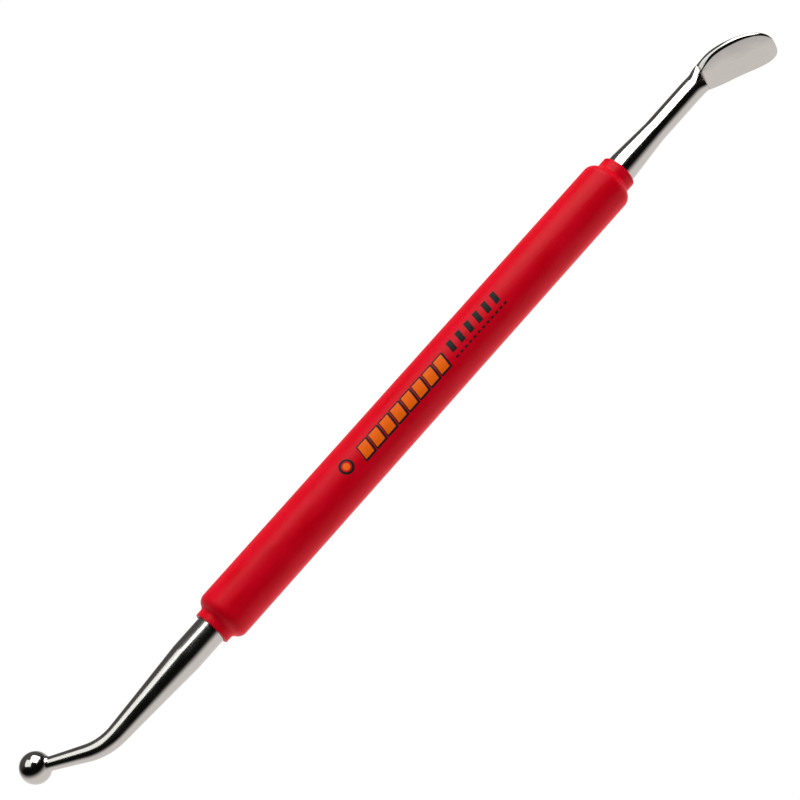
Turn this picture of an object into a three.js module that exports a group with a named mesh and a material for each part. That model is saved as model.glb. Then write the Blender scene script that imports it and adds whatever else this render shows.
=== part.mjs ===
// Double-ended clay shaper: a steel ball burnisher at one end, a steel spatula at the other,
// and a tube handle between them under a shrunk-on grip sleeve. Millimetres, +Z up.
// The tool lies on a surface at z = 0 with +X along the handle towards the spatula.
import * as THREE from 'three';

// Handle
const ROD_RADIUS = 3.0;
const CORE_RADIUS = 4.4;
const CORE_LENGTH = 111;
const CORE_CHAMFER = 0.6;
const FIT_GAP = 0.06;
const END_GAP = 0.15;
const SLEEVE_WALL = 0.7;
const SLEEVE_END_AT_BLADE = 58.85;
const SLEEVE_END_AT_BALL = 58.15;
const SHOULDER_START = 54.5;
const SHOULDER_RADIUS = 2.0;
const FILLET_RADIUS = 0.9;
const LIP_WALL = 0.6;
const LIP_ROUND = 0.1;
const SHANK_INSERT = 36;
const END_CHAMFER = 0.5;

// Ball end: the shank tapers, bends once and carries a ball
const BALL_RADIUS = 3.0;
const BALL_BEND = THREE.MathUtils.degToRad(42);
const BALL_BEND_RADIUS = 9;
const BALL_BEND_CORNER = 86.4;
const BALL_REACH = 13.8;
const BALL_TAPER_START = 65.1;
const NECK_RADIUS = 1.28;
const NECK_TAPER_POWER = 1.22;
const SOCKET_DEPTH = 1.8;

// Spatula end: the shank tapers, turns off the handle's line and flattens into a blade
const BLADE_TAPER_START = 60.3;
const BLADE_TAPER_END = 69.7;
const THIN_RADIUS = 2.34;
const HEEL_BEND = THREE.MathUtils.degToRad(22);
const HEEL_BEND_RADIUS = 10;
const HEEL_BEND_START = 80.8;
const BLADE_LENGTH = 15.13;
const BLADE_CURL = THREE.MathUtils.degToRad(13.6);
const BLADE_CURL_LENGTH = 8.25;
const BLADE_FACE_DROP = 0.4;
const BLADE_BACK_CROWN = 0.12;
const EDGE_BREAK = THREE.MathUtils.degToRad(45);
const EDGE_RADIUS_AT_HEEL = 1.25;
const EDGE_RADIUS_AT_TIP = 0.4;
const UPPER_EDGE_OUTSET = 0.82;
const UPPER_EDGE_SETBACK = 1.25;
const LOWER_EDGE_INSET = 0.32;
const HEEL_HALF_WIDTH = 3.58;
const BLADE_HALF_WIDTH = 4.78;
const BLADE_WIDEST = 6.85;
const BLADE_TIP_POWER = 2.7;
const BLADE_FLARE_POWER = 2.6;
const BLADE_RISE = 0.1;
const BLADE_SKEW = 1.42;
const BLADE_SWEEP = 1.5;
const HEEL_RAMP = 0.4;
const BACK_BLEND = 4;
const FLARE_START = 3.0;
const LOWER_FRONT = [-0.25, 0.25];
const UPPER_FRONT = [0.15, 0.5];
const FACE_ANGLE = (5 * Math.PI) / 16;
const TIP_ZONE = 2.4;
const TIP_BLUNT = 0.08;
const TIP_HALF_WIDTH = 0.6;

// Fineness of the faceted solids
const HANDLE_SIDES = 40;
const SHANK_SIDES = 32;
const ARC_STEPS = 5;
const BALL_STEPS = 20;
const NECK_RINGS = 26;
const HEEL_RINGS = 5;
const BLADE_RINGS = 9;

const steel = new THREE.MeshStandardMaterial({ color: 0xb9b4b0, roughness: 0.12, metalness: 1 });
const tubeMetal = new THREE.MeshStandardMaterial({ color: 0xa8abae, roughness: 0.4, metalness: 1 });
const redSleeve = new THREE.MeshStandardMaterial({ color: 0xc40d1c, roughness: 0.45, metalness: 0 });

// The points of an arc in the (radius, axial) profile of a turned piece
function arcPoints(radial, axial, radius, startAngle, endAngle) {
  const points = [];
  for (let i = 0; i <= ARC_STEPS; i++) {
    const angle = startAngle + ((endAngle - startAngle) * i) / ARC_STEPS;
    points.push(new THREE.Vector2(radial + radius * Math.cos(angle), axial + radius * Math.sin(angle)));
  }
  return points;
}

// A turned piece about the X axis from a closed profile of (radius, axial) points
function turned(profile, sides) {
  const closed = profile.concat([profile[0].clone()]);
  const geometry = new THREE.LatheGeometry(closed, sides);
  geometry.rotateZ(-Math.PI / 2);
  return geometry;
}

// One end of the sleeve's profile: shoulder over the tube's end, fillet, and a plain lip on the shank
function sleeveEnd(end) {
  const outer = CORE_RADIUS + FIT_GAP + SLEEVE_WALL;
  const lipRadius = ROD_RADIUS + FIT_GAP + LIP_WALL;
  const centreRise = lipRadius + FILLET_RADIUS - (outer - SHOULDER_RADIUS);
  const centreRun = Math.sqrt((SHOULDER_RADIUS + FILLET_RADIUS) ** 2 - centreRise ** 2);
  const turn = Math.atan2(centreRun, centreRise);
  const shoulder = arcPoints(outer - SHOULDER_RADIUS, SHOULDER_START, SHOULDER_RADIUS, 0, turn);
  const fillet = arcPoints(
    lipRadius + FILLET_RADIUS, SHOULDER_START + centreRun, FILLET_RADIUS, turn - Math.PI, -Math.PI,
  );
  const lip = arcPoints(lipRadius - LIP_ROUND, end - LIP_ROUND, LIP_ROUND, 0, Math.PI / 2);
  const bore = [
    new THREE.Vector2(ROD_RADIUS + FIT_GAP, end),
    new THREE.Vector2(ROD_RADIUS + FIT_GAP, CORE_LENGTH / 2 + END_GAP),
    new THREE.Vector2(CORE_RADIUS - CORE_CHAMFER, CORE_LENGTH / 2 + END_GAP),
    new THREE.Vector2(CORE_RADIUS + FIT_GAP, CORE_LENGTH / 2 - CORE_CHAMFER + END_GAP),
  ];
  return [...shoulder, ...fillet.slice(1), ...lip, ...bore];
}

function mirrored(profile) {
  return profile.map((point) => new THREE.Vector2(point.x, -point.y)).reverse();
}

function gripSleeve() {
  const ballHalf = mirrored(sleeveEnd(SLEEVE_END_AT_BALL));
  return turned([...ballHalf, ...sleeveEnd(SLEEVE_END_AT_BLADE)], HANDLE_SIDES);
}

function coreTube() {
  const half = [
    new THREE.Vector2(CORE_RADIUS, CORE_LENGTH / 2 - CORE_CHAMFER),
    new THREE.Vector2(CORE_RADIUS - CORE_CHAMFER, CORE_LENGTH / 2),
    new THREE.Vector2(ROD_RADIUS + FIT_GAP, CORE_LENGTH / 2),
  ];
  return turned([...mirrored(half), ...half], HANDLE_SIDES);
}

// A closed skin over rings of points, each ring running clockwise as seen from the far end
function loft(rings) {
  const sides = rings[0].length;
  const positions = rings.flat().flatMap((point) => [point.x, point.y, point.z]);
  const indices = [];
  for (let i = 0; i + 1 < rings.length; i++) {
    for (let j = 0; j < sides; j++) {
      const a = i * sides + j;
      const b = i * sides + ((j + 1) % sides);
      indices.push(a, a + sides, b, b, a + sides, b + sides);
    }
  }
  for (const [ring, flip] of [[0, false], [rings.length - 1, true]]) {
    const middle = rings[ring].reduce((sum, point) => sum.add(point), new THREE.Vector3());
    middle.divideScalar(sides);
    const hub = positions.length / 3;
    positions.push(middle.x, middle.y, middle.z);
    for (let j = 0; j < sides; j++) {
      const a = ring * sides + j;
      const b = ring * sides + ((j + 1) % sides);
      indices.push(hub, flip ? b : a, flip ? a : b);
    }
  }
  const geometry = new THREE.BufferGeometry();
  geometry.setAttribute('position', new THREE.Float32BufferAttribute(positions, 3));
  geometry.setIndex(indices);
  geometry.computeVertexNormals();
  return geometry;
}

// Places section points (across, up) square to a flat path that bends in the XY plane
function ringAt(path, distance, section) {
  const u = Math.min(distance / path.getLength(), 1);
  const centre = path.getPointAt(u);
  const along = path.getTangentAt(u);
  const across = new THREE.Vector2(along.y, -along.x);
  return section.map(([side, up]) => new THREE.Vector3(
    centre.x + across.x * side, centre.y + across.y * side, up,
  ));
}

function roundSection(radius) {
  const points = [];
  for (let j = 0; j < SHANK_SIDES; j++) {
    const angle = (2 * Math.PI * j) / SHANK_SIDES;
    points.push([radius * Math.cos(angle), radius * Math.sin(angle)]);
  }
  return points;
}

// Evenly spaced values that end at the second one and leave the first one out
function steps(from, to, count) {
  return Array.from({ length: count }, (_, i) => from + ((to - from) * (i + 1)) / count);
}

// Carries a flat path on in its last direction, which points below +X by the heading
function goStraight(path, heading, distance) {
  const { x, y } = path.currentPoint;
  path.lineTo(x + distance * Math.cos(heading), y - distance * Math.sin(heading));
}

// Turns a flat path to -Y along an arc, from one heading below +X to a steeper one
function goRound(path, radius, fromHeading, toHeading) {
  const { x, y } = path.currentPoint;
  path.absarc(
    x - radius * Math.sin(fromHeading), y - radius * Math.cos(fromHeading), radius,
    Math.PI / 2 - fromHeading, Math.PI / 2 - toHeading, true,
  );
}

// The ball shank's centreline, from inside the handle to the ball's centre
function ballPath() {
  const tangent = BALL_BEND_RADIUS * Math.tan(BALL_BEND / 2);
  const path = new THREE.Path();
  path.moveTo(CORE_LENGTH / 2 - SHANK_INSERT, 0);
  path.lineTo(BALL_BEND_CORNER - tangent, 0);
  goRound(path, BALL_BEND_RADIUS, 0, BALL_BEND);
  goStraight(path, BALL_BEND, BALL_REACH - tangent);
  return path;
}

function ballShank() {
  const path = ballPath();
  const innerEnd = CORE_LENGTH / 2 - SHANK_INSERT;
  const neckEnd = path.getLength() - BALL_RADIUS + SOCKET_DEPTH - FIT_GAP;
  const taperStart = BALL_TAPER_START - innerEnd;
  const radiusAt = (distance) => {
    const left = 1 - Math.max(distance - taperStart, 0) / (neckEnd - taperStart);
    return NECK_RADIUS + (ROD_RADIUS - NECK_RADIUS) * left ** NECK_TAPER_POWER;
  };
  const distances = [END_CHAMFER, taperStart, ...steps(taperStart, neckEnd, NECK_RINGS)];
  const rings = distances.map((distance) => ringAt(path, distance, roundSection(radiusAt(distance))));
  rings.unshift(ringAt(path, 0, roundSection(ROD_RADIUS - END_CHAMFER)));
  return loft(rings);
}

// The ball, turned about the X axis, with a blind socket for the neck in its -X side
function ballTip() {
  const socketRadius = NECK_RADIUS + FIT_GAP;
  const mouth = Math.asin(socketRadius / BALL_RADIUS);
  const profile = [];
  for (let i = 0; i <= BALL_STEPS; i++) {
    const angle = (Math.PI - mouth) * (1 - i / BALL_STEPS);
    profile.push(new THREE.Vector2(BALL_RADIUS * Math.sin(angle), BALL_RADIUS * Math.cos(angle)));
  }
  profile[profile.length - 1].x = 0;
  const floor = SOCKET_DEPTH - BALL_RADIUS;
  profile.unshift(new THREE.Vector2(0, floor), new THREE.Vector2(socketRadius, floor));
  const geometry = new THREE.LatheGeometry(profile, SHANK_SIDES);
  geometry.rotateZ(-Math.PI / 2);
  return geometry;
}

// The spatula shank's centreline, from inside the handle to the blade's tip
function bladePath() {
  const path = new THREE.Path();
  path.moveTo(CORE_LENGTH / 2 - SHANK_INSERT, 0);
  path.lineTo(HEEL_BEND_START, 0);
  goRound(path, HEEL_BEND_RADIUS, 0, HEEL_BEND);
  goRound(path, BLADE_CURL_LENGTH / BLADE_CURL, HEEL_BEND, HEEL_BEND + BLADE_CURL);
  goStraight(path, HEEL_BEND + BLADE_CURL, BLADE_LENGTH - BLADE_CURL_LENGTH);
  return path;
}

// Half of the blade's width at a distance past the heel
function bladeHalfWidth(distance) {
  if (distance < BLADE_WIDEST) {
    const left = Math.min((BLADE_WIDEST - distance) / BLADE_WIDEST, 1);
    return BLADE_HALF_WIDTH - (BLADE_HALF_WIDTH - HEEL_HALF_WIDTH) * left ** BLADE_FLARE_POWER;
  }
  const past = Math.min((distance - BLADE_WIDEST) / (BLADE_LENGTH - BLADE_WIDEST), 1);
  return BLADE_HALF_WIDTH * (1 - past ** BLADE_TIP_POWER) ** (1 / BLADE_TIP_POWER);
}

// How far the middle of the blade's outline lies above the path: it leans up, then sweeps down at the tip
function bladeSkew(distance) {
  const u = Math.max(distance, 0) / BLADE_LENGTH;
  return BLADE_RISE + BLADE_SKEW * (u - BLADE_SWEEP * u ** 3);
}

// The radius that runs round the blade's edge from the face to the back
function edgeRadius(distance) {
  const u = Math.max(distance, 0) / BLADE_LENGTH;
  return EDGE_RADIUS_AT_HEEL + (EDGE_RADIUS_AT_TIP - EDGE_RADIUS_AT_HEEL) * u ** 2;
}

// A point of the blade's section at an angle about the path: flat face, crisp break, round edge, crowned back
function bladePoint(angle, distance) {
  const toTip = Math.max(BLADE_LENGTH - distance, 0) + TIP_BLUNT;
  const taper = Math.min(toTip / EDGE_RADIUS_AT_TIP, 1);
  const thinning = Math.sqrt(1 - (1 - taper) ** 2);
  const radius = edgeRadius(distance) * thinning;
  const half = Math.max(bladeHalfWidth(distance), TIP_HALF_WIDTH);
  const isUpper = Math.sin(angle) >= 0;
  const outset = UPPER_EDGE_OUTSET - UPPER_EDGE_SETBACK * edgeRadius(distance);
  const faceEdge = isUpper
    ? half + outset * thinning - radius * (1 - Math.sin(EDGE_BREAK))
    : half - LOWER_EDGE_INSET * thinning;
  const edgeMiddle = faceEdge - radius * Math.sin(EDGE_BREAK);
  const edgeSide = -BLADE_FACE_DROP - radius * Math.cos(EDGE_BREAK);
  const turn = Math.acos(Math.cos(angle));
  let across = -BLADE_FACE_DROP;
  let reach = (faceEdge * turn) / FACE_ANGLE;
  if (turn > Math.PI - FACE_ANGLE) {
    const spread = (Math.PI - turn) / FACE_ANGLE;
    across = edgeSide - radius - BLADE_BACK_CROWN * thinning * (1 - spread ** 2);
    reach = edgeMiddle * spread;
  } else if (turn > FACE_ANGLE) {
    const round = turn < Math.PI / 2
      ? THREE.MathUtils.mapLinear(turn, FACE_ANGLE, Math.PI / 2, EDGE_BREAK, Math.PI / 2)
      : THREE.MathUtils.mapLinear(turn, Math.PI / 2, Math.PI - FACE_ANGLE, Math.PI / 2, Math.PI);
    across = edgeSide + radius * Math.cos(round);
    reach = edgeMiddle + radius * Math.sin(round);
  }
  return [across, bladeSkew(distance) + (isUpper ? reach : -reach)];
}

// The round shank's section, which turns into the blade's over the heel. The face starts with a steep step,
// and the back flares slowly.
function spatulaSection(distance, radius) {
  const toFace = THREE.MathUtils.smoothstep(distance, -HEEL_RAMP, 0);
  const toBack = THREE.MathUtils.smoothstep(distance, -FLARE_START, BACK_BLEND);
  const flare = THREE.MathUtils.smoothstep(distance, -FLARE_START, 0);
  const edgeDrop = (BLADE_FACE_DROP + edgeRadius(distance) * Math.cos(EDGE_BREAK)) * flare;
  return roundSection(radius).map(([side, up], j) => {
    const [bladeSide, bladeUp] = bladePoint((2 * Math.PI * j) / SHANK_SIDES, distance);
    const front = THREE.MathUtils.smoothstep(side / radius, ...(up > 0 ? UPPER_FRONT : LOWER_FRONT));
    const rodSide = side - edgeDrop * (1 - Math.abs(side) / radius);
    return [
      THREE.MathUtils.lerp(rodSide, bladeSide, THREE.MathUtils.lerp(toBack, toFace, front)),
      THREE.MathUtils.lerp(up, bladeUp, THREE.MathUtils.lerp(flare, toFace, front)),
    ];
  });
}

function bladeShank() {
  const path = bladePath();
  const innerEnd = CORE_LENGTH / 2 - SHANK_INSERT;
  const heel = path.getLength() - BLADE_LENGTH;
  const taperStart = BLADE_TAPER_START - innerEnd;
  const taperEnd = BLADE_TAPER_END - innerEnd;
  const radiusAt = (distance) => {
    const tapered = THREE.MathUtils.clamp((distance - taperStart) / (taperEnd - taperStart), 0, 1);
    return THREE.MathUtils.lerp(ROD_RADIUS, THIN_RADIUS, tapered);
  };
  const distances = [
    END_CHAMFER,
    taperStart,
    taperEnd,
    HEEL_BEND_START - innerEnd,
    ...steps(HEEL_BEND_START - innerEnd, heel - HEEL_RAMP, HEEL_RINGS),
    ...steps(heel - HEEL_RAMP, heel, HEEL_RINGS),
    ...steps(heel, heel + BLADE_WIDEST, BLADE_RINGS),
    ...steps(heel + BLADE_WIDEST, heel + BLADE_LENGTH - TIP_ZONE, BLADE_RINGS),
    ...steps(0, 1, BLADE_RINGS).map((u) => heel + BLADE_LENGTH - TIP_ZONE * (1 - u) ** 2),
  ];
  const rings = distances.map((distance) => (
    ringAt(path, distance, spatulaSection(distance - heel, radiusAt(distance)))
  ));
  rings.unshift(ringAt(path, 0, roundSection(ROD_RADIUS - END_CHAMFER)));
  return loft(rings);
}

function piece(name, geometry, material) {
  const mesh = new THREE.Mesh(geometry, material);
  mesh.name = name;
  return mesh;
}

// The ball end is built along +X, then turned half round, so that it bends away from the blade's side
function ballEnd() {
  const ball = piece('ball_tip', ballTip(), steel);
  const centre = ballPath().getPointAt(1);
  ball.position.set(centre.x, centre.y, 0);
  ball.rotation.z = -BALL_BEND;
  const end = new THREE.Group();
  end.add(piece('ball_shank', ballShank(), steel), ball);
  end.rotation.z = Math.PI;
  return end;
}

// The tool rolled about its handle until the ball touches the surface that the sleeve lies on
function clayShaper() {
  const outer = CORE_RADIUS + FIT_GAP + SLEEVE_WALL;
  const ballOffset = BALL_REACH * Math.sin(BALL_BEND);
  const tool = new THREE.Group();
  tool.add(
    piece('grip_sleeve', gripSleeve(), redSleeve),
    piece('core_tube', coreTube(), tubeMetal),
    ballEnd(),
    piece('blade_shank', bladeShank(), steel),
  );
  tool.rotation.x = -Math.asin((outer - BALL_RADIUS) / ballOffset);
  const part = new THREE.Group();
  part.add(tool);
  part.updateMatrixWorld(true);
  const box = new THREE.Box3().setFromObject(part, true);
  const middle = box.getCenter(new THREE.Vector3());
  tool.position.set(-middle.x, -middle.y, -box.min.z);
  return part;
}

export default clayShaper();
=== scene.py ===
from math import acos, asin, atan2, cos, pi, radians, sin, sqrt, tan

import bpy
from mathutils import Matrix, Vector


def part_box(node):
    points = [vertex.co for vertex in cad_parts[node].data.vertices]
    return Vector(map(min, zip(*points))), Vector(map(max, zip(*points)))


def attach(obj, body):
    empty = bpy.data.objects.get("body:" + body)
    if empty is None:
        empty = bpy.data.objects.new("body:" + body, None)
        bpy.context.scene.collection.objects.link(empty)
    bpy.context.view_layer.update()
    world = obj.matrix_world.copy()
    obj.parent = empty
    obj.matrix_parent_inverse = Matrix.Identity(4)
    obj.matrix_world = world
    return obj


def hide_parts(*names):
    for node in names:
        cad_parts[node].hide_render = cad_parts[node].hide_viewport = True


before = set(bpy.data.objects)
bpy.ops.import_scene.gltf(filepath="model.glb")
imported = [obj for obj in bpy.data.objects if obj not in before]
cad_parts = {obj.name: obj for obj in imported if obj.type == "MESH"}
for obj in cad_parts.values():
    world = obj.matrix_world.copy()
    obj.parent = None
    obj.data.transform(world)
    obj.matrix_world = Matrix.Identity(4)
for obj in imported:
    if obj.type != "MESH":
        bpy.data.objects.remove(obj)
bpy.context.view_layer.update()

# Handle
ROD_RADIUS = 3.0
CORE_RADIUS = 4.4
CORE_LENGTH = 111
CORE_CHAMFER = 0.6
FIT_GAP = 0.06
END_GAP = 0.15
SLEEVE_WALL = 0.7
SLEEVE_END_AT_BLADE = 58.85
SLEEVE_END_AT_BALL = 58.15
SHOULDER_START = 54.5
SHOULDER_RADIUS = 2.0
FILLET_RADIUS = 0.9
LIP_WALL = 0.6
LIP_ROUND = 0.1
SHANK_INSERT = 36
END_CHAMFER = 0.5

# Ball end
BALL_RADIUS = 3.0
BALL_BEND = radians(42)
BALL_BEND_RADIUS = 9
BALL_BEND_CORNER = 86.4
BALL_REACH = 13.8
BALL_TAPER_START = 65.1
NECK_RADIUS = 1.28
NECK_TAPER_POWER = 1.22
SOCKET_DEPTH = 1.8
BRAZE_RISE = 0.3
BRAZE_RUN = 0.7
BRAZE_POWER = 2.2
BRAZE_END = 0.2
POLE_RADIUS = 0.005
SOCKET_POLE_RADIUS = 0.02

# Spatula end. The blade's edge is slightly finer than the CAD solid's, and its face rolls off by FACE_ROLL at
# the upper edge.
BLADE_TAPER_START = 60.3
BLADE_TAPER_END = 69.7
THIN_RADIUS = 2.34
HEEL_BEND = radians(22)
HEEL_BEND_RADIUS = 10
HEEL_BEND_START = 80.8
BLADE_LENGTH = 15.13
BLADE_CURL = radians(13.6)
BLADE_CURL_LENGTH = 8.25
BLADE_FACE_DROP = 0.4
BLADE_BACK_CROWN = 0.12
EDGE_BREAK = radians(30)
EDGE_RADIUS_AT_HEEL = 1.12
EDGE_RADIUS_AT_TIP = 0.36
UPPER_EDGE_OUTSET = 0.82
UPPER_EDGE_SETBACK = 1.43
LOWER_EDGE_INSET = 0.32
HEEL_HALF_WIDTH = 3.58
BLADE_HALF_WIDTH = 4.78
BLADE_WIDEST = 6.85
BLADE_TIP_POWER = 2.7
BLADE_FLARE_POWER = 2.6
BLADE_RISE = 0.1
BLADE_SKEW = 1.42
BLADE_SWEEP = 1.5
HEEL_RAMP = 0.4
BACK_BLEND = 4
FLARE_START = 3.0
LOWER_FRONT = (-0.25, 0.25)
UPPER_FRONT = (0.5, 0.85)
FACE_ROLL = 0.15
FACE_ROLL_START = 5
FACE_ANGLE = 5 * pi / 16
TIP_ZONE = 2.4
TIP_BLUNT = 0.08
TIP_HALF_WIDTH = 0.6

# Fineness of the meshes
SLEEVE_SIDES = 144
ROD_SIDES = 96
BLADE_SIDES = 160
ARC_STEPS = 16
BALL_STEPS = 64
TIP_STEPS = 48
SLEEVE_STEP = 0.8
ROD_STEP = 1.0
NECK_STEP = 0.2
BRAZE_STEP = 0.05
TAPER_STEP = 0.4
THIN_STEP = 0.5
FLARE_STEP = 0.1
HEEL_STEP = 0.025
BLADE_STEP = 0.15

# The sleeve's print: plain slanted bars, in millimetres along the sleeve and round it from the print's line
PRINT_LINE = radians(61)
PRINT_SLANT = 0.22
ORANGE_BARS = (-17.0, 7.4)
ORANGE_PITCH = 3.05
ORANGE_WIDTH = 2.2
ORANGE_MIDDLE = 0.35
ORANGE_HEIGHT = 2.7
OUTLINE = 0.27
PRINT_SHADOW = 0.16
BLACK_BARS = (8.6, 23.6)
BLACK_PITCH = 2.5
BLACK_WIDTH = 1.25
BLACK_MIDDLE = -0.55
BLACK_HEIGHT = 2.3
DASH_PITCH = 1.25
DASH_WIDTH = 0.7
DASH_MIDDLE = 1.6
DASH_HEIGHT = 0.42
BADGE_AT = (-20.6, -0.1)
BADGE_RING = 1.25
BADGE_RING_HALF_WIDTH = 0.25
BADGE_DOT = 0.7
INK_SOFTNESS = 0.04

# Finishes. A steel's finish is its roughness and a share of the usual grain depth. Lines, clouds, pits, waves
# and grain are in cycles per millimetre, along the piece and across it where there are three. The noise
# ranges are the values that one noise, or two added together, mostly takes.
NOISE_RANGE = (0.3, 0.7)
NOISE_SUM_RANGE = (0.7, 1.3)
ROUGHNESS_SHARES = (0.75, 1.35)
ROD_FINISH = (0.15, 1.0)
BALL_FINISH = (0.12, 0.3)
BLADE_FINISH = (0.12, 1.0)
STEEL_LIGHT = (0.60, 0.555, 0.525, 1)
STEEL_DARK = (0.55, 0.51, 0.48, 1)
# Painted shade: the colour of the blade face's darker upper edge
STEEL_PAINTED_SHADE = (0.40, 0.375, 0.355, 1)
# Painted shade: the colour of the dark line in the blade's heel crease
STEEL_CREASE_SHADE = (0.16, 0.10, 0.06, 1)
STEEL_LINES = (0.12, 5.0, 5.0)
STEEL_CLOUDS = (0.25, 0.6, 0.6)
STEEL_PITS = 7.0
LINE_DEPTH = 0.0006
PIT_DEPTH = 0.0004
FRONT_STARTS = (-1.0, -0.7)
# Where the painted shade on the blade face begins, and how ragged its edge is
PAINTED_SHADE_STARTS = (2.5, 6.8)
PAINTED_SHADE_RAGGEDNESS = 4.0
HEEL_SOFTNESS = 0.1
# Painted shade line in the heel's crease: its offset past the heel and its half width
CREASE_SHADE_PAST_HEEL = 0.05
CREASE_SHADE_HALF_WIDTH = 0.2
RED_LIGHT = (0.74, 0.001, 0.016, 1)
RED_DARK = (0.67, 0.000, 0.008, 1)
RED_ROUGHNESS = (0.32, 0.44)
RED_SHINE = 0.08
SKIN_GRAIN = 3.4
SKIN_WAVES = (0.16, 0.5, 0.5)
SKIN_GRAIN_DEPTH = 0.012
SKIN_WAVE_DEPTH = 0.05
PRINT_BLACK = (0.012, 0.012, 0.012, 1)
PRINT_ORANGE = (0.96, 0.14, 0.003, 1)
ALUMINIUM_DARK = (0.58, 0.59, 0.60, 1)
ALUMINIUM_LIGHT = (0.66, 0.67, 0.68, 1)
ALUMINIUM_ROUGHNESS = (0.3, 0.45)
ALUMINIUM_LINES = (0.1, 3, 3)
ALUMINIUM_LINE_DEPTH = 0.01

# Studio. Each softbox is (azimuth, elevation, width, height, radiance), in degrees as the tool sees it.
FLOOR_SIZE = 3.0
FLOOR_PAINT = (0.03, 0.03, 0.03, 1)
FLOOR_SEEN = 1.0
FLOOR_GLOW = 1.6
SOFTBOXES = {
    "right_softbox": (34, 49, 47, 53, 4.9),
    "left_softbox": (116, 54, 40, 42, 1.5),
}
SOFTBOX_DISTANCE = 1.2
SOFTBOX_TINT = (0.93, 1.0, 0.99)
SWEEP_TOWARDS = (-0.1, -0.42, -0.9)
SWEEP_EDGE = (-0.12, 0.58)
SWEEP_LIGHT = 0.95
FAR_WALL_TOWARDS = (0.3, 1, 0)
FAR_WALL_EDGE = (0.2, 0.9)
FAR_WALL_LIGHT = 0.10
ROOM_LIGHT = 0.004
WHITE = (1, 1, 1, 1)

# Camera, about the middle of the handle
CAMERA_AZIMUTH = radians(-28.29)
CAMERA_ELEVATION = radians(58.11)
CAMERA_ROLL = radians(-23.66)
CAMERA_DISTANCE = 471
CAMERA_AIM = (-3.24, 2.01, 0.71)
CAMERA_LENS = 114.75
CAMERA_SENSOR = 36

MM = 0.001
OUTER_RADIUS = CORE_RADIUS + FIT_GAP + SLEEVE_WALL
TOOL_ROLL = -asin((OUTER_RADIUS - BALL_RADIUS) / (BALL_REACH * sin(BALL_BEND)))
tube_low, tube_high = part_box("core_tube")
MIDDLE = (tube_low + tube_high) / 2
TOOL = Matrix.Translation(MIDDLE) @ Matrix.Rotation(TOOL_ROLL, 4, "X") @ Matrix.Diagonal((MM, MM, MM, 1))
TURNED_ROUND = Matrix.Rotation(pi, 4, "Z")


def lerp(a, b, share):
    return a + (b - a) * share


def clamped(value):
    return min(max(value, 0.0), 1.0)


def smooth(value, low, high):
    u = clamped((value - low) / (high - low))
    return u * u * (3 - 2 * u)


def spaced(start, end, step):
    """Evenly spaced values from start to end, both included, about one step apart."""
    count = max(1, round((end - start) / step))
    return [start + (end - start) * i / count for i in range(count + 1)]


# ---------------------------------------------------------------- mesh helpers


def add_piece(name, rings, place, node, material, closed_loop=False, grain=None):
    """A smooth skin over rings of points, capped at both ends, or joined end to end if closed_loop is set."""
    sides = len(rings[0])
    points = [place @ Vector(point) for ring in rings for point in ring]
    faces = []
    last = len(rings) if closed_loop else len(rings) - 1
    for i in range(last):
        a, b = i * sides, (i + 1) % len(rings) * sides
        for j in range(sides):
            k = (j + 1) % sides
            faces.append((a + j, b + j, b + k, a + k))
    if not closed_loop:
        faces.append(tuple(range(sides)))
        faces.append(tuple(reversed(range((len(rings) - 1) * sides, len(rings) * sides))))
    mesh = bpy.data.meshes.new(name)
    mesh.from_pydata(points, [], faces)
    mesh.validate()
    mesh.shade_smooth()
    if grain is not None:
        layer = mesh.attributes.new("grain", "FLOAT_VECTOR", "POINT")
        layer.data.foreach_set("vector", [c for ring in grain for point in ring for c in point])
    mesh.materials.append(material)
    piece = bpy.data.objects.new(name, mesh)
    bpy.context.scene.collection.objects.link(piece)
    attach(piece, "root")
    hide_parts(node)


def turned_rings(profile, sides):
    """Rings about the X axis for a profile of (axial, radius) points."""
    return [
        [
            (x, radius * cos(2 * pi * j / sides), radius * sin(2 * pi * j / sides))
            for j in range(sides)
        ]
        for x, radius in profile
    ]


def arc(x, radius, size, start, end):
    """Points (axial, radius) of an arc; angles are measured from outwards towards +X."""
    angles = [lerp(start, end, i / ARC_STEPS) for i in range(ARC_STEPS + 1)]
    return [(x + size * sin(angle), radius + size * cos(angle)) for angle in angles]


def flat_path(start, stretches):
    """A path in the XY plane that starts along +X. Each stretch is (length, turn to -Y).
    Returns a function that gives x, y and the heading below +X at a distance."""

    def at(distance):
        x, y, heading = start, 0.0, 0.0
        left = distance
        for length, turn in stretches:
            run = min(left, length)
            if turn:
                bend = length / turn
                turned = heading + run / bend
                x += bend * (sin(turned) - sin(heading))
                y -= bend * (cos(heading) - cos(turned))
                heading = turned
            else:
                x += run * cos(heading)
                y -= run * sin(heading)
            left -= run
            if left <= 0:
                break
        return x, y, heading

    return at


def ring_at(path, distance, section):
    """Places section points (across, up) square to the path at a distance."""
    x, y, heading = path(distance)
    return [(x - side * sin(heading), y - side * cos(heading), up) for side, up in section]


def round_section(radius, sides):
    return [
        (radius * cos(2 * pi * j / sides), radius * sin(2 * pi * j / sides)) for j in range(sides)
    ]


# ---------------------------------------------------------------- sleeve


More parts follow.
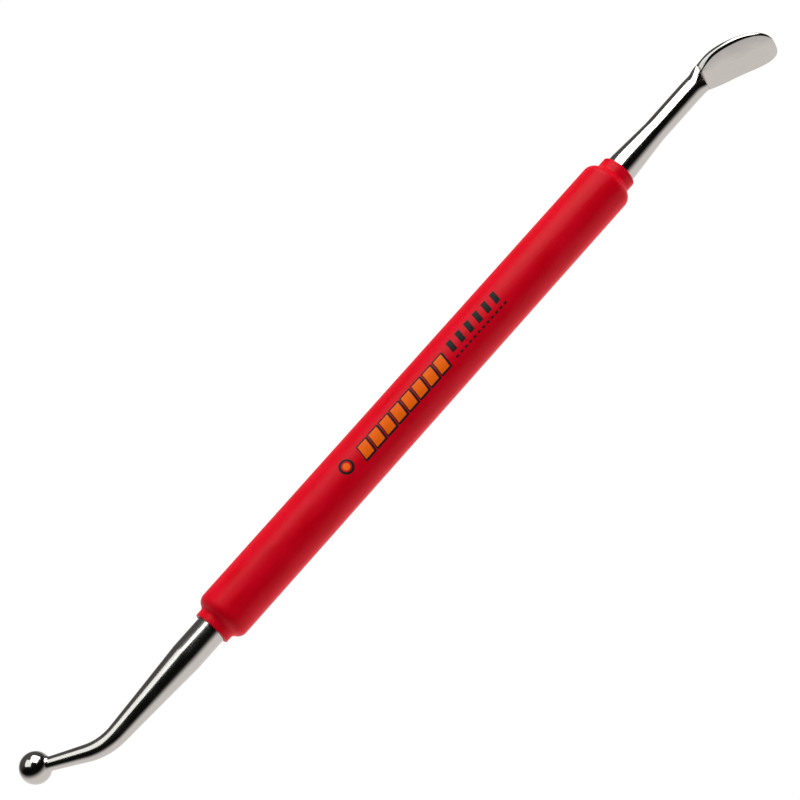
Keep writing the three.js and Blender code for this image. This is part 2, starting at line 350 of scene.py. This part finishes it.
def sleeve_half(end):
    """One half of the sleeve's closed profile, from the outside round to the bore."""
    lip = ROD_RADIUS + FIT_GAP + LIP_WALL
    rise = lip + FILLET_RADIUS - (OUTER_RADIUS - SHOULDER_RADIUS)
    run = sqrt((SHOULDER_RADIUS + FILLET_RADIUS) ** 2 - rise**2)
    turn = atan2(run, rise)
    bore = ROD_RADIUS + FIT_GAP
    seat = CORE_LENGTH / 2 + END_GAP
    return [
        *[
            (x, OUTER_RADIUS)
            for x in spaced(SLEEVE_STEP / 2, SHOULDER_START - SLEEVE_STEP / 2, SLEEVE_STEP)
        ],
        *arc(SHOULDER_START, OUTER_RADIUS - SHOULDER_RADIUS, SHOULDER_RADIUS, 0, turn),
        *arc(SHOULDER_START + run, lip + FILLET_RADIUS, FILLET_RADIUS, turn - pi, -pi)[1:],
        *arc(end - LIP_ROUND, lip - LIP_ROUND, LIP_ROUND, 0, pi / 2),
        (end, bore),
        (seat, bore),
        (seat, CORE_RADIUS - CORE_CHAMFER),
        (seat - CORE_CHAMFER, CORE_RADIUS + FIT_GAP),
    ]


def make_sleeve():
    ball_half = [(-x, radius) for x, radius in reversed(sleeve_half(SLEEVE_END_AT_BALL))]
    rings = turned_rings(ball_half + sleeve_half(SLEEVE_END_AT_BLADE), SLEEVE_SIDES)
    add_piece(
        "red_sleeve", rings, TOOL, "grip_sleeve", red_tubing(), closed_loop=True, grain=rings
    )


# ---------------------------------------------------------------- ball end


def make_ball_end():
    bend_run = BALL_BEND_RADIUS * tan(BALL_BEND / 2)
    inner_end = CORE_LENGTH / 2 - SHANK_INSERT
    stretches = [
        (BALL_BEND_CORNER - bend_run - inner_end, 0),
        (BALL_BEND_RADIUS * BALL_BEND, BALL_BEND),
        (BALL_REACH - bend_run, 0),
    ]
    path = flat_path(inner_end, stretches)
    length = sum(run for run, _ in stretches)
    neck_end = length - BALL_RADIUS + SOCKET_DEPTH - FIT_GAP
    taper_start = BALL_TAPER_START - inner_end
    contact = length - sqrt(BALL_RADIUS**2 - (NECK_RADIUS + BRAZE_RISE) ** 2)

    def radius_at(distance):
        left = 1 - max(distance - taper_start, 0) / (neck_end - taper_start)
        tapered = NECK_RADIUS + (ROD_RADIUS - NECK_RADIUS) * left**NECK_TAPER_POWER
        if distance > contact + BRAZE_END / 2:
            return tapered
        near_ball = clamped(1 - (contact - distance) / BRAZE_RUN)
        return tapered + BRAZE_RISE * near_ball**BRAZE_POWER

    distances = [
        *spaced(END_CHAMFER, taper_start, ROD_STEP),
        *spaced(taper_start, contact - BRAZE_RUN, NECK_STEP)[1:],
        *spaced(contact - BRAZE_RUN, contact, BRAZE_STEP)[1:],
        contact + BRAZE_END,
        neck_end,
    ]
    sections = [round_section(ROD_RADIUS - END_CHAMFER, ROD_SIDES)]
    sections += [round_section(radius_at(distance), ROD_SIDES) for distance in distances]
    distances.insert(0, 0)
    rings = [ring_at(path, distance, section) for distance, section in zip(distances, sections)]
    grain = [[(d, side, up) for side, up in s] for d, s in zip(distances, sections)]
    add_piece(
        "ball_end_rod", rings, TOOL @ TURNED_ROUND, "ball_shank",
        steel("polished_rod", *ROD_FINISH), grain=grain,
    )
    x, y, heading = path(length)
    place = TOOL @ TURNED_ROUND @ Matrix.Translation((x, y, 0)) @ Matrix.Rotation(-heading, 4, "Z")
    make_ball(place)


def make_ball(place):
    socket = NECK_RADIUS + FIT_GAP
    mouth = asin(socket / BALL_RADIUS)
    floor = SOCKET_DEPTH - BALL_RADIUS
    profile = [(floor, SOCKET_POLE_RADIUS), (floor, socket)]
    for i in range(BALL_STEPS + 1):
        angle = mouth + (pi - mouth) * i / BALL_STEPS
        profile.append((-BALL_RADIUS * cos(angle), max(BALL_RADIUS * sin(angle), POLE_RADIUS)))
    rings = turned_rings(profile, ROD_SIDES)
    add_piece(
        "burnisher_ball", rings, place, "ball_tip", steel("polished_ball", *BALL_FINISH),
        grain=rings,
    )


# ---------------------------------------------------------------- spatula end


def blade_half_width(distance):
    if distance < BLADE_WIDEST:
        left = min((BLADE_WIDEST - distance) / BLADE_WIDEST, 1)
        return BLADE_HALF_WIDTH - (BLADE_HALF_WIDTH - HEEL_HALF_WIDTH) * left**BLADE_FLARE_POWER
    past = min((distance - BLADE_WIDEST) / (BLADE_LENGTH - BLADE_WIDEST), 1)
    return BLADE_HALF_WIDTH * (1 - past**BLADE_TIP_POWER) ** (1 / BLADE_TIP_POWER)


def blade_skew(distance):
    u = max(distance, 0) / BLADE_LENGTH
    return BLADE_RISE + BLADE_SKEW * (u - BLADE_SWEEP * u**3)


def edge_radius(distance):
    """The radius that runs round the blade's edge from the face to the back."""
    return lerp(EDGE_RADIUS_AT_HEEL, EDGE_RADIUS_AT_TIP, (max(distance, 0) / BLADE_LENGTH) ** 2)


def blade_point(angle, distance):
    """A point (across, up) of the blade's section: flat face, a crisp break, round edges, crowned back."""
    taper = min((max(BLADE_LENGTH - distance, 0) + TIP_BLUNT) / EDGE_RADIUS_AT_TIP, 1)
    thinning = sqrt(1 - (1 - taper) ** 2)
    radius = edge_radius(distance) * thinning
    half = max(blade_half_width(distance), TIP_HALF_WIDTH)
    is_upper = sin(angle) >= 0
    if is_upper:
        outset = UPPER_EDGE_OUTSET - UPPER_EDGE_SETBACK * edge_radius(distance)
        face_edge = half + outset * thinning - radius * (1 - sin(EDGE_BREAK))
    else:
        face_edge = half - LOWER_EDGE_INSET * thinning
    edge_middle = face_edge - radius * sin(EDGE_BREAK)
    roll = FACE_ROLL * smooth(distance, 0, FACE_ROLL_START) * thinning if is_upper else 0
    edge_side = -BLADE_FACE_DROP - roll - radius * cos(EDGE_BREAK)
    turn = acos(max(-1, min(1, cos(angle))))
    across = -BLADE_FACE_DROP - roll * (turn / FACE_ANGLE) ** 4
    reach = face_edge * turn / FACE_ANGLE
    if turn > pi - FACE_ANGLE:
        spread = (pi - turn) / FACE_ANGLE
        across = edge_side + roll - radius - BLADE_BACK_CROWN * thinning * (1 - spread**2)
        reach = edge_middle * spread
    elif turn > FACE_ANGLE:
        share = (turn - FACE_ANGLE) / (pi / 2 - FACE_ANGLE)
        rounded = lerp(EDGE_BREAK, pi / 2, share) if share < 1 else pi / 2 * share
        depth = radius if share < 1 else radius - roll
        across = edge_side + depth * cos(rounded)
        reach = edge_middle + radius * sin(rounded)
    return across, blade_skew(distance) + (reach if is_upper else -reach)


def spatula_section(distance, radius):
    """The round shank's section, which turns into the blade's over the heel. The face starts with a steep
    step, and the back flares slowly."""
    to_face = smooth(distance, -HEEL_RAMP, 0)
    to_back = smooth(distance, -FLARE_START, BACK_BLEND)
    flare = smooth(distance, -FLARE_START, 0)
    edge_drop = (BLADE_FACE_DROP + edge_radius(distance) * cos(EDGE_BREAK)) * flare
    section = []
    for j, (side, up) in enumerate(round_section(radius, BLADE_SIDES)):
        blade_side, blade_up = blade_point(2 * pi * j / BLADE_SIDES, distance)
        front = smooth(side / radius, *(UPPER_FRONT if up > 0 else LOWER_FRONT))
        rod_side = side - edge_drop * (1 - abs(side) / radius)
        section.append((
            lerp(rod_side, blade_side, lerp(to_back, to_face, front)),
            lerp(up, blade_up, lerp(flare, to_face, front)),
        ))
    return section


def make_blade_end():
    inner_end = CORE_LENGTH / 2 - SHANK_INSERT
    stretches = [
        (HEEL_BEND_START - inner_end, 0),
        (HEEL_BEND_RADIUS * HEEL_BEND, HEEL_BEND),
        (BLADE_CURL_LENGTH, BLADE_CURL),
        (BLADE_LENGTH - BLADE_CURL_LENGTH, 0),
    ]
    path = flat_path(inner_end, stretches)
    heel = stretches[0][0] + stretches[1][0]
    taper_start = BLADE_TAPER_START - inner_end
    taper_end = BLADE_TAPER_END - inner_end
    tip = heel + BLADE_LENGTH
    distances = [
        *spaced(END_CHAMFER, taper_start, ROD_STEP),
        *spaced(taper_start, taper_end, TAPER_STEP)[1:],
        *spaced(taper_end, heel - FLARE_START, THIN_STEP)[1:],
        *spaced(heel - FLARE_START, heel - HEEL_RAMP, FLARE_STEP)[1:],
        *spaced(heel - HEEL_RAMP, heel, HEEL_STEP)[1:],
        *spaced(heel, tip - TIP_ZONE, BLADE_STEP)[1:],
        *[tip - TIP_ZONE * (1 - u) ** 2 for u in spaced(0, 1, 1 / TIP_STEPS)[1:]],
    ]

    def radius_at(distance):
        return lerp(ROD_RADIUS, THIN_RADIUS, clamped((distance - taper_start) / (taper_end - taper_start)))

    sections = [round_section(ROD_RADIUS - END_CHAMFER, BLADE_SIDES)]
    sections += [spatula_section(distance - heel, radius_at(distance)) for distance in distances]
    distances.insert(0, 0)
    rings = [ring_at(path, distance, section) for distance, section in zip(distances, sections)]
    grain = [[(d, side, up) for side, up in s] for d, s in zip(distances, sections)]
    add_piece(
        "spatula_rod", rings, TOOL, "blade_shank",
        steel("polished_blade", *BLADE_FINISH, heel), grain=grain,
    )


# ---------------------------------------------------------------- materials


class Nodes:
    """A short way to write a node tree."""

    def __init__(self, tree):
        self.tree = tree

    def node(self, kind, **settings):
        made = self.tree.nodes.new("ShaderNode" + kind)
        for key, value in settings.items():
            setattr(made, key, value)
        return made

    def link(self, source, target):
        self.tree.links.new(source, target)

    def feed(self, socket, value):
        """Links a socket to another node's output, or sets its value."""
        if isinstance(value, bpy.types.NodeSocket):
            self.link(value, socket)
        else:
            socket.default_value = value

    def math(self, operation, a, b=0.0, c=0.0):
        made = self.node("Math", operation=operation)
        for socket, value in zip(made.inputs, (a, b, c)):
            self.feed(socket, value)
        return made.outputs[0]

    def scaled(self, vector, factors):
        made = self.node("VectorMath", operation="MULTIPLY")
        self.feed(made.inputs[0], vector)
        made.inputs[1].default_value = factors
        return made.outputs[0]

    def noise(self, vector, detail, scale=1.0):
        made = self.node("TexNoise")
        self.feed(made.inputs["Vector"], vector)
        made.inputs["Scale"].default_value = scale
        made.inputs["Detail"].default_value = detail
        return made.outputs["Fac"]

    def spread(self, value, low, high, to_low, to_high):
        """Maps a value from one range to another, held at both ends."""
        made = self.node("MapRange")
        for socket, number in zip(made.inputs, (value, low, high, to_low, to_high)):
            self.feed(socket, number)
        return made.outputs[0]

    def mix(self, share, a, b):
        made = self.node("Mix", data_type="RGBA")
        for name, value in (("Factor_Float", share), ("A_Color", a), ("B_Color", b)):
            socket = next(s for s in made.inputs if s.identifier == name)
            self.feed(socket, value)
        return next(s for s in made.outputs if s.identifier == "Result_Color")

    def bump(self, height, distance, normal=None):
        made = self.node("Bump")
        self.feed(made.inputs["Height"], height)
        made.inputs["Distance"].default_value = distance
        made.inputs["Strength"].default_value = 1.0
        if normal is not None:
            self.link(normal, made.inputs["Normal"])
        return made.outputs["Normal"]


class MaterialNodes(Nodes):
    """A new material's node tree, with its shader at hand."""

    def __init__(self, name):
        self.material = bpy.data.materials.new(name)
        self.material.use_nodes = True
        super().__init__(self.material.node_tree)
        self.shader = self.tree.nodes["Principled BSDF"]


def steel(name, roughness, grain_depth, heel=None):
    """Polished steel with faint lengthwise polishing lines, clouding and fine pits. Past the heel, if there is
    one, the ground face has painted shade towards its upper edge, and a painted line of shade in the crease
    where it starts."""
    nodes = MaterialNodes(name)
    place = nodes.node("Attribute", attribute_name="grain").outputs["Vector"]
    lines = nodes.noise(nodes.scaled(place, STEEL_LINES), detail=3)
    clouds = nodes.noise(nodes.scaled(place, STEEL_CLOUDS), detail=2)
    pits = nodes.noise(place, detail=2, scale=STEEL_PITS)
    nodes.shader.inputs["Metallic"].default_value = 1.0
    colour = nodes.mix(clouds, STEEL_DARK, STEEL_LIGHT)
    if heel is not None:
        split = nodes.node("SeparateXYZ")
        nodes.link(place, split.inputs[0])
        distance, across, upward = split.outputs
        front = nodes.spread(across, *FRONT_STARTS, 0.0, 1.0)
        past_heel = nodes.spread(distance, heel - HEEL_SOFTNESS, heel + HEEL_SOFTNESS, 0.0, 1.0)
        face = nodes.math("MULTIPLY", front, past_heel)
        # Painted shade: darkens the ground face towards its upper edge, with a ragged edge
        shade_reach = nodes.math("MULTIPLY_ADD", clouds, PAINTED_SHADE_RAGGEDNESS, upward)
        painted_shade = nodes.math("MULTIPLY", face, nodes.spread(shade_reach, *PAINTED_SHADE_STARTS, 0.0, 1.0))
        colour = nodes.mix(painted_shade, colour, STEEL_PAINTED_SHADE)
        # Painted shade: a dark line in the crease where the face starts at the heel
        line = inside(nodes, distance, heel + CREASE_SHADE_PAST_HEEL, CREASE_SHADE_HALF_WIDTH, CREASE_SHADE_HALF_WIDTH)
        colour = nodes.mix(nodes.math("MULTIPLY", front, line), colour, STEEL_CREASE_SHADE)
    nodes.link(colour, nodes.shader.inputs["Base Color"])
    least, most = [roughness * share for share in ROUGHNESS_SHARES]
    uneven = nodes.spread(nodes.math("ADD", lines, clouds), *NOISE_SUM_RANGE, least, most)
    nodes.link(uneven, nodes.shader.inputs["Roughness"])
    normal = nodes.bump(lines, LINE_DEPTH * MM * grain_depth)
    nodes.link(nodes.bump(pits, PIT_DEPTH * MM * grain_depth, normal=normal), nodes.shader.inputs["Normal"])
    return nodes.material


def inside(nodes, value, middle, half_width, soft=INK_SOFTNESS):
    """1 where the value lies within a band, 0 outside it, with a soft edge."""
    away = nodes.math("ABSOLUTE", nodes.math("SUBTRACT", value, middle))
    return nodes.spread(away, half_width - soft, half_width + soft, 1.0, 0.0)


def bars(nodes, along, around, reach, pitch, width, middle, height, grow=0.0):
    """A row of slanted bars. along and around are the surface's coordinates in millimetres."""
    slanted = nodes.math("MULTIPLY_ADD", around, PRINT_SLANT, along)
    count = nodes.math("DIVIDE", nodes.math("SUBTRACT", slanted, reach[0]), pitch)
    place = nodes.math("MULTIPLY", nodes.math("FRACT", count), pitch)
    bar = inside(nodes, place, width / 2 + OUTLINE, width / 2 + grow)
    row = inside(nodes, around, middle, height / 2 + grow)
    span = (reach[0] + reach[1]) / 2
    stretch = inside(nodes, slanted, span, (reach[1] - reach[0]) / 2)
    return nodes.math("MULTIPLY", nodes.math("MULTIPLY", bar, row), stretch)


def printed(nodes, along, around, ground):
    """The print over the sleeve's colour: a round badge, orange bars with a dark outline and shadow, black
    bars and dashes."""
    orange = (ORANGE_BARS, ORANGE_PITCH, ORANGE_WIDTH, ORANGE_MIDDLE, ORANGE_HEIGHT)
    black = (BLACK_BARS, BLACK_PITCH, BLACK_WIDTH, BLACK_MIDDLE, BLACK_HEIGHT)
    dashes = (BLACK_BARS, DASH_PITCH, DASH_WIDTH, DASH_MIDDLE, DASH_HEIGHT)
    from_badge = [nodes.math("SUBTRACT", c, at) for c, at in zip((along, around), BADGE_AT)]
    badge = nodes.math("SQRT", nodes.math("ADD", *[nodes.math("MULTIPLY", c, c) for c in from_badge]))
    colour = ground
    shade_along = nodes.math("SUBTRACT", along, PRINT_SHADOW)
    shade_around = nodes.math("SUBTRACT", around, PRINT_SHADOW)
    for share, ink in (
        (bars(nodes, shade_along, shade_around, *orange, grow=OUTLINE), PRINT_BLACK),
        (bars(nodes, along, around, *orange, grow=OUTLINE), PRINT_BLACK),
        (bars(nodes, along, around, *orange), PRINT_ORANGE),
        (bars(nodes, along, around, *black), PRINT_BLACK),
        (bars(nodes, along, around, *dashes), PRINT_BLACK),
        (inside(nodes, badge, BADGE_RING, BADGE_RING_HALF_WIDTH), PRINT_BLACK),
        (inside(nodes, badge, 0.0, BADGE_DOT), PRINT_ORANGE),
    ):
        colour = nodes.mix(share, colour, ink)
    return colour


def red_tubing():
    """The sleeve's satin red shrink tubing with a fine pebbled skin and its print."""
    nodes = MaterialNodes("red_tubing")
    place = nodes.node("Attribute", attribute_name="grain").outputs["Vector"]
    split = nodes.node("SeparateXYZ")
    nodes.link(place, split.inputs[0])
    along, y, z = split.outputs
    facing = nodes.math("MULTIPLY_ADD", z, sin(PRINT_LINE), nodes.math("MULTIPLY", y, -cos(PRINT_LINE)))
    beside = nodes.math("MULTIPLY_ADD", y, -sin(PRINT_LINE), nodes.math("MULTIPLY", z, -cos(PRINT_LINE)))
    around = nodes.math("MULTIPLY", nodes.math("ARCTAN2", beside, facing), OUTER_RADIUS)
    fine = nodes.noise(place, detail=3, scale=SKIN_GRAIN)
    broad = nodes.noise(nodes.scaled(place, SKIN_WAVES), detail=3)
    ground = nodes.mix(nodes.spread(broad, *NOISE_RANGE, 0.0, 1.0), RED_DARK, RED_LIGHT)
    nodes.link(printed(nodes, along, around, ground), nodes.shader.inputs["Base Color"])
    roughness = nodes.spread(nodes.math("ADD", fine, broad), *NOISE_SUM_RANGE, *RED_ROUGHNESS)
    nodes.link(roughness, nodes.shader.inputs["Roughness"])
    nodes.shader.inputs["Specular IOR Level"].default_value = RED_SHINE
    waves = nodes.bump(broad, SKIN_WAVE_DEPTH * MM)
    nodes.link(nodes.bump(fine, SKIN_GRAIN_DEPTH * MM, normal=waves), nodes.shader.inputs["Normal"])
    return nodes.material


def drawn_aluminium():
    """The hidden core tube's drawn aluminium, with lengthwise drawing lines."""
    nodes = MaterialNodes("drawn_aluminium")
    place = nodes.node("TexCoord").outputs["Object"]
    lines = nodes.noise(nodes.scaled(place, [waves / MM for waves in ALUMINIUM_LINES]), detail=3)
    nodes.shader.inputs["Metallic"].default_value = 1.0
    nodes.link(nodes.mix(lines, ALUMINIUM_DARK, ALUMINIUM_LIGHT), nodes.shader.inputs["Base Color"])
    roughness = nodes.spread(lines, *NOISE_RANGE, *ALUMINIUM_ROUGHNESS)
    nodes.link(roughness, nodes.shader.inputs["Roughness"])
    nodes.link(nodes.bump(lines, ALUMINIUM_LINE_DEPTH * MM), nodes.shader.inputs["Normal"])
    return nodes.material


# ---------------------------------------------------------------- studio


def make_floor():
    """A white light table, which the camera sees as plain white and which lights the tool from below."""
    mesh = bpy.data.meshes.new("floor")
    corners = [(x * FLOOR_SIZE, y * FLOOR_SIZE, 0) for x, y in ((-1, -1), (1, -1), (1, 1), (-1, 1))]
    mesh.from_pydata(corners, [], [(0, 1, 2, 3)])
    nodes = MaterialNodes("white_table")
    shader = nodes.shader
    shader.inputs["Base Color"].default_value = FLOOR_PAINT
    shader.inputs["Roughness"].default_value = 1.0
    shader.inputs["Specular IOR Level"].default_value = 0.0
    shader.inputs["Emission Color"].default_value = WHITE
    seen = nodes.node("LightPath").outputs["Is Camera Ray"]
    glow = nodes.math("MULTIPLY_ADD", seen, FLOOR_SEEN - FLOOR_GLOW, FLOOR_GLOW)
    nodes.link(glow, shader.inputs["Emission Strength"])
    mesh.materials.append(nodes.material)
    floor = bpy.data.objects.new("floor", mesh)
    floor.visible_glossy = False
    bpy.context.scene.collection.objects.link(floor)


def direction(azimuth, elevation):
    """The unit vector at an angle from +X towards +Y, and above the horizon, in degrees."""
    azimuth, elevation = radians(azimuth), radians(elevation)
    return Vector((cos(azimuth) * cos(elevation), sin(azimuth) * cos(elevation), sin(elevation)))


def add_softbox(name, azimuth, elevation, wide, tall, radiance):
    """An upright softbox that the tool sees at that direction, with those full angles in degrees."""
    lamp = bpy.data.lights.new(name, "AREA")
    lamp.shape = "RECTANGLE"
    lamp.size = 2 * SOFTBOX_DISTANCE * tan(radians(wide / 2))
    lamp.size_y = 2 * SOFTBOX_DISTANCE * tan(radians(tall / 2))
    lamp.energy = radiance * pi * lamp.size * lamp.size_y
    lamp.color = SOFTBOX_TINT
    box = bpy.data.objects.new(name, lamp)
    towards = direction(azimuth, elevation)
    box.location = MIDDLE + SOFTBOX_DISTANCE * towards
    box.rotation_euler = (-towards).to_track_quat("-Z", "Y").to_euler()
    box.visible_camera = False
    bpy.context.scene.collection.objects.link(box)


def make_world():
    """White behind the camera's view. The tool mirrors a dark room over a white sweep that rises to -Y."""
    world = bpy.data.worlds.new("studio")
    world.use_nodes = True
    world.cycles_visibility.diffuse = False
    bpy.context.scene.world = world
    nodes = Nodes(world.node_tree)
    towards = nodes.node("TexCoord").outputs["Generated"]

    def facing(vector, low, high):
        dot = nodes.node("VectorMath", operation="DOT_PRODUCT")
        nodes.link(towards, dot.inputs[0])
        dot.inputs[1].default_value = Vector(vector).normalized()
        ramp = nodes.node("MapRange", interpolation_type="SMOOTHSTEP")
        nodes.link(dot.outputs["Value"], ramp.inputs["Value"])
        ramp.inputs["From Min"].default_value = low
        ramp.inputs["From Max"].default_value = high
        return ramp.outputs["Result"]

    sweep = facing(SWEEP_TOWARDS, *SWEEP_EDGE)
    far_wall = facing(FAR_WALL_TOWARDS, *FAR_WALL_EDGE)
    room = nodes.math("MULTIPLY_ADD", far_wall, FAR_WALL_LIGHT, ROOM_LIGHT)
    seen = nodes.math("ADD", nodes.math("MULTIPLY", sweep, SWEEP_LIGHT), room)
    around = nodes.node("Background")
    nodes.link(seen, around.inputs["Color"])
    plain = nodes.node("Background")
    plain.inputs["Color"].default_value = WHITE
    choose = nodes.node("MixShader")
    nodes.link(nodes.node("LightPath").outputs["Is Camera Ray"], choose.inputs[0])
    nodes.link(around.outputs[0], choose.inputs[1])
    nodes.link(plain.outputs[0], choose.inputs[2])
    nodes.link(choose.outputs[0], nodes.tree.nodes["World Output"].inputs["Surface"])


def make_camera():
    lens = bpy.data.cameras.new("camera")
    lens.lens = CAMERA_LENS
    lens.sensor_width = CAMERA_SENSOR
    camera = bpy.data.objects.new("camera", lens)
    level = cos(CAMERA_ELEVATION)
    back = Vector((sin(CAMERA_AZIMUTH) * level, -cos(CAMERA_AZIMUTH) * level, sin(CAMERA_ELEVATION)))
    aim = MIDDLE + Vector(CAMERA_AIM) * MM
    turn = (-back).to_track_quat("-Z", "Y").to_matrix().to_4x4() @ Matrix.Rotation(CAMERA_ROLL, 4, "Z")
    camera.matrix_world = Matrix.Translation(aim + back * CAMERA_DISTANCE * MM) @ turn
    bpy.context.scene.collection.objects.link(camera)
    bpy.context.scene.camera = camera
    bpy.context.scene.view_settings.view_transform = "Standard"


make_camera()
make_sleeve()
make_ball_end()
make_blade_end()
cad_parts["core_tube"].data.materials.clear()
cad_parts["core_tube"].data.materials.append(drawn_aluminium())
make_floor()
make_world()
for softbox, (azimuth, elevation, wide, tall, radiance) in SOFTBOXES.items():
    add_softbox(softbox, azimuth, elevation, wide, tall, radiance)
